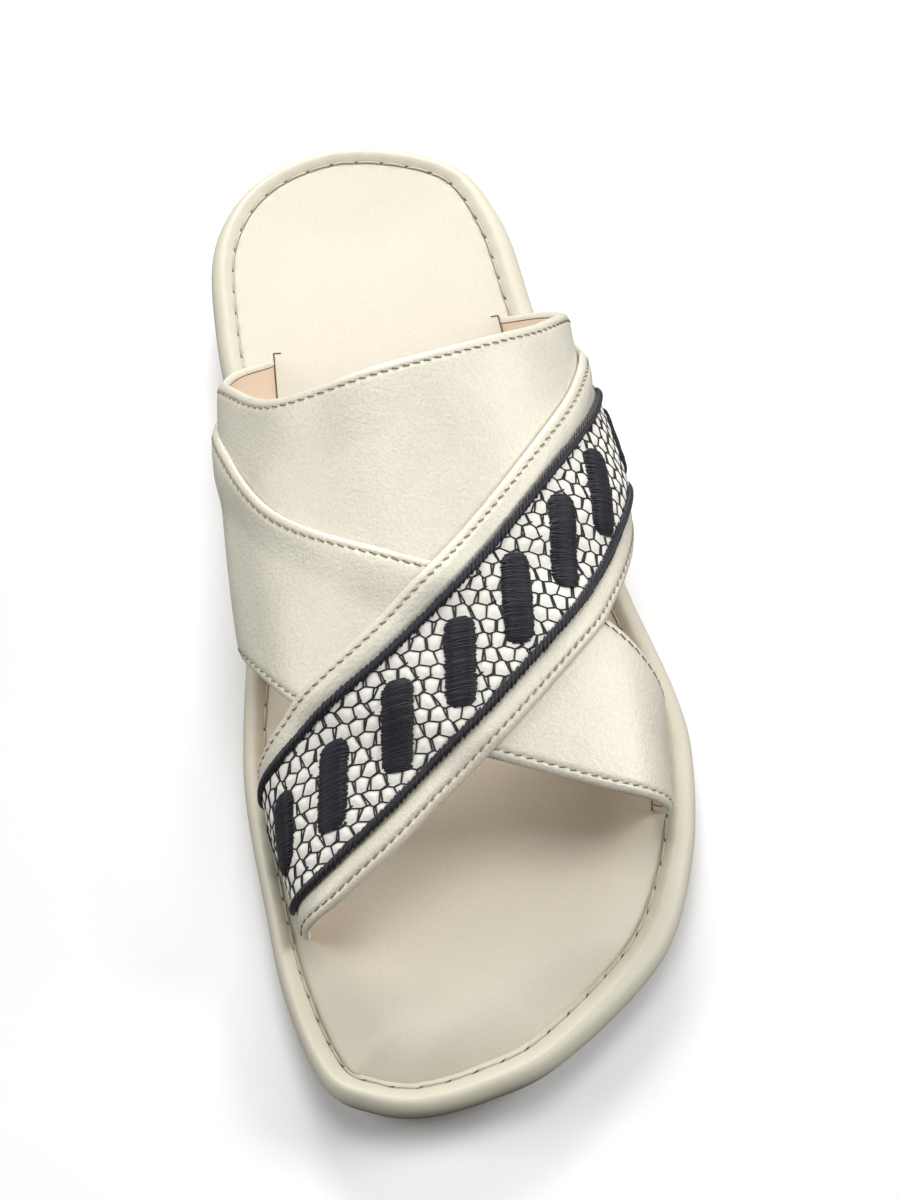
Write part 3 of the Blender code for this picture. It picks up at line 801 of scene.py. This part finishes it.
def edgeTrack(key, side, inward, lift, samples=1200):
    # a line along a strap at one distance from its edge, with its length
    run = np.linspace(0.0, 1.0, samples)
    y = strapY(key, side, inward, run)
    points = onLast(y, run, strapOuter(key, y, run) + lift + creaseHeight(key, y, run))
    return points, lengthsAlong(points)


def trackPoint(track, at):
    points, length = track
    return np.array([np.interp(at, length, points[:, k]) for k in range(3)])


def makeEdgeStitches(key):
    threads = []
    s, g = strapLook["stitchIn"], strapLook["groove"]
    for side in ("front", "back"):
        upper = edgeTrack(key, side, s, -g + 0.14)
        nearer = edgeTrack(key, side, s - 0.2, -g + 0.2)
        further = edgeTrack(key, side, s + 0.2, -g + 0.2)
        lower = edgeTrack(key, side, s, -g - 0.5)
        count = int(upper[1][-1] / edgeStitch["pitch"])
        scale = upper[1][-1] / count
        for k in range(1, count - 1):
            a = (k + 0.5 - edgeStitch["share"] / 2) * scale
            b = (k + 0.5 + edgeStitch["share"] / 2) * scale
            c = (a + b) / 2
            ratio = lower[1][-1] / upper[1][-1]
            threads.append([trackPoint(lower, (a - 0.1) * ratio), trackPoint(nearer, a + 0.15),
                            trackPoint(upper, c), trackPoint(further, b - 0.15),
                            trackPoint(lower, (b + 0.1) * ratio)])
    piece = newObject(f"stitches_{key}", threadMesh(f"stitches_{key}", threads, edgeStitch["radius"]),
                      finishes["hideThread"])
    return settle(piece, "upper")


for key in strapOrder:
    makeEdgeStitches(key)

# ---- embroidered band on the top strap, laid out on the last: girth from the ridge, y from the toe
print("embroidery")
band = {"ropeRuns": (0.2, 0.3, 0.4, 0.68, 0.78),
        "ropeIn": {"front": (8, 7.9, 7.8, 7.8, 7.8), "back": (6.2, 7.4, 7.8, 7.8, 10)},
        "ropeRadius": 0.56, "stitchGap": 1.5, "stitchLong": 1.85, "stitchWide": 1.05,
        "cell": 3.6, "row": 3.25, "uneven": 0.3, "zigzag": 0.3, "jitter": 0.2, "thread": 0.22,
        "pairChance": 0.75, "doubleChance": 0.3, "spread": 0.38, "puff": 0.45, "drop": -0.55,
        "pillWide": 7.2, "pillUp": 1.15,
        # where a pill's middle lies between the ropes and its half length, for these girths
        "pillShare": ((-38, -23, -7), (0.51, 0.485, 0.475)),
        "pillReach": ((-38, -23, -7), (0.26, 0.305, 0.33)),
        "pillLean": ((-45, 50), (0.2, 0.02)),
        # girth of each pill's middle, closing up towards the outer side
        "pillGirths": (-56, -38.1, -23.4, -7.1, 8.6, 23.6, 37.4, 50.3, 71, 87),
        "satinPitch": 0.36, "satinRadius": 0.26}
bandRuns = np.linspace(0, 1, 601)


def ropeLine(side, runs):
    return strapY("top", side, np.interp(runs, band["ropeRuns"], band["ropeIn"][side]), runs)


ropes = {}
for side in ("front", "back"):
    ropeY = ropeLine(side, bandRuns)
    ropes[side] = (readTable(lastGirth, ropeY, bandRuns), ropeY)


def bandLimits(girth):
    return np.interp(girth, *ropes["front"]), np.interp(girth, *ropes["back"])


def onBand(girth, y, lift):
    run = runAtGirth(girth, y)
    return onLast(y, run, strapOuter("top", y, run) + creaseHeight("top", y, run) + lift)


def bandPills():
    # middle girth, middle y, half length, lean of the top towards the outer side
    pills = []
    for girth in band["pillGirths"]:
        front, back = bandLimits(girth)
        share, reach = np.interp(girth, *band["pillShare"]), np.interp(girth, *band["pillReach"])
        lean = np.interp(girth, *band["pillLean"])
        pills.append((girth, front + (back - front) * share, (back - front) * reach, lean))
    return pills


pills = bandPills()


def pillDistance(girth, y):
    # below 0 inside a pill
    nearest = np.full(np.shape(girth), 99.0)
    wide = band["pillWide"] / 2
    for atGirth, atY, reach, lean in pills:
        t = np.clip(y - atY, wide - reach, reach - wide)
        nearest = np.minimum(nearest, np.hypot(girth - atGirth - t * lean, y - atY - t) - wide)
    return nearest


def netLines():
    # wide and narrow cells by turns between straight rows; many uprights are two threads from one knot
    random.seed(11)
    columns, rows = range(-50, 51), range(8, 64)
    nodes = {}
    for j in rows:
        slide = random.uniform(-0.5, 0.5)
        for k in columns:
            uneven = band["uneven"] * ((k + j) // 2 % 2 * 2 - 1)
            girth = k * band["cell"] / 2 + slide + uneven + random.uniform(-1, 1) * band["jitter"]
            y = j * band["row"] + (band["zigzag"] if (j + k) % 2 else -band["zigzag"])
            nodes[j, k] = (girth, y + random.uniform(-1, 1) * band["jitter"])
    t = np.linspace(0, 1, 4)[:, None]

    def straight(a, b):
        return np.array(a) + (np.array(b) - np.array(a)) * t

    lines = [np.vstack([straight(nodes[j, k], nodes[j, k + 1])[:-1] for k in columns[:-1]]) for j in rows]
    for j in rows[:-1]:
        for k in columns[:-1]:
            if (j + k) % 2:
                start, end = np.array(nodes[j, k]), np.array(nodes[j + 1, k])
                if random.random() < band["pairChance"]:
                    wide = np.array([band["spread"] * random.uniform(0.7, 1.3), 0])
                    near, far = random.choice(((1, 0.15), (0.15, 1), (0.65, 0.5)))
                    lines += [straight(start - wide * near, end - wide * far),
                              straight(start + wide * near, end + wide * far)]
                else:
                    lines.append(straight(start, end))
            elif random.random() < band["doubleChance"]:
                # a second thread beside a row, from one knot past the next
                lines.append(straight(nodes[j, k], np.array(nodes[j, k + 1]) + np.array([0.5, 0.6])))
    return lines


def trimmedToBand(lines):
    # the stretches of each thread between the ropes and outside the pills
    kept = []
    for line in lines:
        girth, y = line[:, 0], line[:, 1]
        front, back = bandLimits(girth)
        inside = ((y > front) & (y < back) & (pillDistance(girth, y) > -0.5)
                  & (girth > ropes["back"][0][0] + 2) & (girth < ropes["front"][0][-1] - 2))
        edges = np.flatnonzero(np.diff(np.concatenate(([0], inside.astype(int), [0]))))
        kept += [line[a:b] for a, b in zip(edges[::2], edges[1::2]) if b - a > 1]
    return kept


def laidOnBand(lines, lift):
    flat = np.vstack(lines)
    lift = lift if np.isscalar(lift) else np.concatenate(lift)
    return np.split(onBand(flat[:, 0], flat[:, 1], lift), np.cumsum([len(line) for line in lines])[:-1])


netThreads = trimmedToBand(netLines())
netPiece = newObject("band_net", threadMesh("band_net", laidOnBand(netThreads, band["drop"] + 0.1),
                                            band["thread"]), finishes["darkYarn"])
settle(netPiece, "embroidered_band")


def netDistance(girth, y):
    a = np.vstack([line[:-1] for line in netThreads])
    along = np.vstack([line[1:] for line in netThreads]) - a
    square = (along ** 2).sum(1) + 1e-9
    flat = np.column_stack((girth.ravel(), y.ravel()))
    order = np.argsort(flat[:, 0])
    middle = a[:, 0] + along[:, 0] / 2
    out = np.full(len(flat), 3.0)
    for chunk in np.array_split(order, 240):
        low, high = flat[chunk, 0].min() - 3, flat[chunk, 0].max() + 3
        near = (middle > low) & (middle < high)
        if not near.any():
            continue
        p = flat[chunk][:, None]
        t = np.clip(((p - a[near]) * along[near]).sum(-1) / square[near], 0, 1)
        out[chunk] = np.sqrt(((a[near] + along[near] * t[..., None] - p) ** 2).sum(-1).min(-1))
    return out.reshape(girth.shape)


def makeGround():
    # the cloth between the threads, puffed a little in each cell, from rope to rope
    runs, shares = np.linspace(0.02, 0.98, 460), np.linspace(0, 1, 76)
    run, share = np.meshgrid(runs, shares, indexing="ij")
    front = ropeLine("front", runs)[:, None]
    back = ropeLine("back", runs)[:, None]
    y = front + (back - front) * share
    girth = readTable(lastGirth, y, run)
    away = np.minimum(netDistance(girth, y), np.minimum(share, 1 - share) * (back - front))
    away = np.minimum(away, np.maximum(pillDistance(girth, y), 0))
    height = strapOuter("top", y, run) + creaseHeight("top", y, run) + band["drop"]
    points = onLast(y, run, height + band["puff"] * ease(away / 1.3))
    return newObject("band_ground", sheetThrough(points), finishes["groundCloth"])


settle(makeGround(), "embroidered_band", "embroidered_band")


def makePills():
    # satin stitch: each thread is a low arch across the pill, its ends a little uneven
    lines, arches = [], []
    shares = np.linspace(-1, 1, 9)
    for atGirth, atY, reach, lean in pills:
        count = int(2 * reach / band["satinPitch"])
        wide = band["pillWide"] / 2
        for k in range(1, count):
            t = -reach + k * 2 * reach / count
            over = max(abs(t) - (reach - wide), 0) / wide
            halfWide = wide * (1 - over ** 2.4) ** 0.42
            left, right = halfWide + random.uniform(-0.3, 0.15), halfWide + random.uniform(-0.3, 0.15)
            across = np.where(shares < 0, shares * left, shares * right)
            slope = 0.12 + random.uniform(-0.05, 0.05)
            lines.append(np.column_stack((atGirth + t * lean + across, atY + t + across * slope)))
            rise = band["pillUp"] * (1 - 0.5 * over ** 3) + random.uniform(-0.07, 0.07)
            arches.append(band["drop"] + rise * np.maximum(1 - np.abs(shares) ** 3, 0) ** 0.5)
    mesh = threadMesh("band_pills", laidOnBand(lines, arches), band["satinRadius"])
    return newObject("band_pills", mesh, finishes["darkYarn"])


settle(makePills(), "embroidered_band")


def makeRope(side):
    # slanted spindle-shaped stitches over a core that follows the edge
    runs = np.linspace(0.012, 0.988, 2400)
    y = ropeLine(side, runs)
    middle = onLast(y, runs, strapOuter("top", y, runs) + creaseHeight("top", y, runs) - 0.35)
    normal = readTable(lastNormals, y, runs)
    length = lengthsAlong(middle)

    def read(table, at):
        return np.column_stack([np.interp(at, length, table[:, k]) for k in range(3)])

    t = np.linspace(-1, 1, 9)
    routes, radii = [read(middle, np.arange(0, length[-1], 1.0))], [1.0]
    for k in range(1, int(length[-1] / band["stitchGap"])):
        at = k * band["stitchGap"] + random.uniform(-0.12, 0.12)
        here = at + t * band["stitchLong"] * random.uniform(0.92, 1.08)
        if here[0] < 0 or here[-1] > length[-1]:
            continue
        centre, up = read(middle, here), read(normal, here)
        along = read(middle, here + 0.2) - read(middle, here - 0.2)
        across = np.cross(along, up)
        across /= np.linalg.norm(across, axis=1)[:, None]
        reach = band["stitchWide"] * random.uniform(0.9, 1.12)
        rise = 0.42 + 0.3 * np.cos(t * math.pi / 2)
        routes.append(centre - across * (t * reach)[:, None] + up * rise[:, None])
        radii.append(1 - 0.55 * np.abs(t) ** 2.6)
    return routes, radii


random.seed(9)
ropeRoutes, ropeRadii = map(list, zip(*(makeRope(side) for side in ("front", "back"))))
ropePiece = newObject("band_ropes", threadMesh("band_ropes", sum(ropeRoutes, []), band["ropeRadius"],
                                               radii=sum(ropeRadii, [])), finishes["darkYarn"])
settle(ropePiece, "embroidered_band")

# ---- floor, light and camera
print("studio")
studio = {"eye": (-0.0566, -0.5098, 0.8124), "aim": (0.0, -0.006, 0.022), "lens": 114,
          # softboxes: power and place
          "boxes": {"heelBox": (11.0, (0.0, 0.93, 0.6)), "outerBox": (7.6, (0.93, 0.0, 0.6)),
                    "innerBox": (5.3, (-0.93, 0.0, 0.6)), "topBox": (4.3, (0.0, 0.0, 1.12))},
          # floorNear: the floor is paler close to the shoe, painted light over the shadows there
          "boxSize": 0.55, "room": 0.16, "floorNear": 0.9, "floorFar": 0.74}


def makeStudio():
    bm = bmesh.new()
    bmesh.ops.create_grid(bm, x_segments=1, y_segments=1, size=6)
    floor = newObject("floor", bm)
    floor.location.z = -0.0005
    white = bpy.data.materials.new("floorWhite")
    white.use_nodes = True
    tree = white.node_tree
    # near the shoe it is paler, painted light that lifts the shadows it takes, and far off it glows with
    # painted light, so that its end is lost in white
    place = add(tree, "ShaderNodeVectorMath", {0: add(tree, "ShaderNodeTexCoord").outputs["Object"],
                1: (1.75, 1, 1)}, operation="MULTIPLY")
    away = add(tree, "ShaderNodeVectorMath", {0: place.outputs[0]}, operation="LENGTH")
    tone = add(tree, "ShaderNodeMapRange", {"Value": away.outputs["Value"], "From Min": 0.13,
               "From Max": 0.24, "To Min": studio["floorNear"], "To Max": studio["floorFar"]},
               interpolation_type="SMOOTHSTEP")
    tree.links.new(tone.outputs[0], tree.nodes["Principled BSDF"].inputs["Base Color"])
    far = add(tree, "ShaderNodeMapRange", {"Value": away.outputs["Value"], "From Min": 0.5,
              "From Max": 2.0, "To Min": 0.0, "To Max": 0.9})
    tree.links.new(far.outputs[0], tree.nodes["Principled BSDF"].inputs["Emission Strength"])
    tree.nodes["Principled BSDF"].inputs["Emission Color"].default_value = (1, 1, 1, 1)
    tree.nodes["Principled BSDF"].inputs["Roughness"].default_value = 0.9
    floor.data.materials.append(white)
    # the pale floor takes shadows and throws no light back up at the walls
    floor.visible_diffuse = floor.visible_glossy = False

    world = bpy.data.worlds.new("room")
    world.use_nodes = True
    world.node_tree.nodes["Background"].inputs["Color"].default_value = (1, 1, 1, 1)
    world.node_tree.nodes["Background"].inputs["Strength"].default_value = studio["room"]
    bpy.context.scene.world = world

    for name, (power, place) in studio["boxes"].items():
        lamp = bpy.data.lights.new(name, "AREA")
        lamp.size = studio["boxSize"]
        lamp.energy = power
        box = bpy.data.objects.new(name, lamp)
        box.location = place
        box.rotation_euler = (Vector((0, 0, 0.02)) - Vector(place)).to_track_quat("-Z", "Y").to_euler()
        bpy.context.scene.collection.objects.link(box)

    eye = bpy.data.cameras.new("camera")
    eye.lens = studio["lens"]
    eye.sensor_width = 36
    eye.sensor_fit = "AUTO"
    camera = bpy.data.objects.new("camera", eye)
    camera.location = studio["eye"]
    look = Vector(studio["aim"]) - Vector(studio["eye"])
    camera.rotation_euler = look.to_track_quat("-Z", "Y").to_euler()
    bpy.context.scene.collection.objects.link(camera)
    bpy.context.scene.camera = camera
    bpy.context.scene.view_settings.view_transform = "Standard"


makeStudio()

print("done")
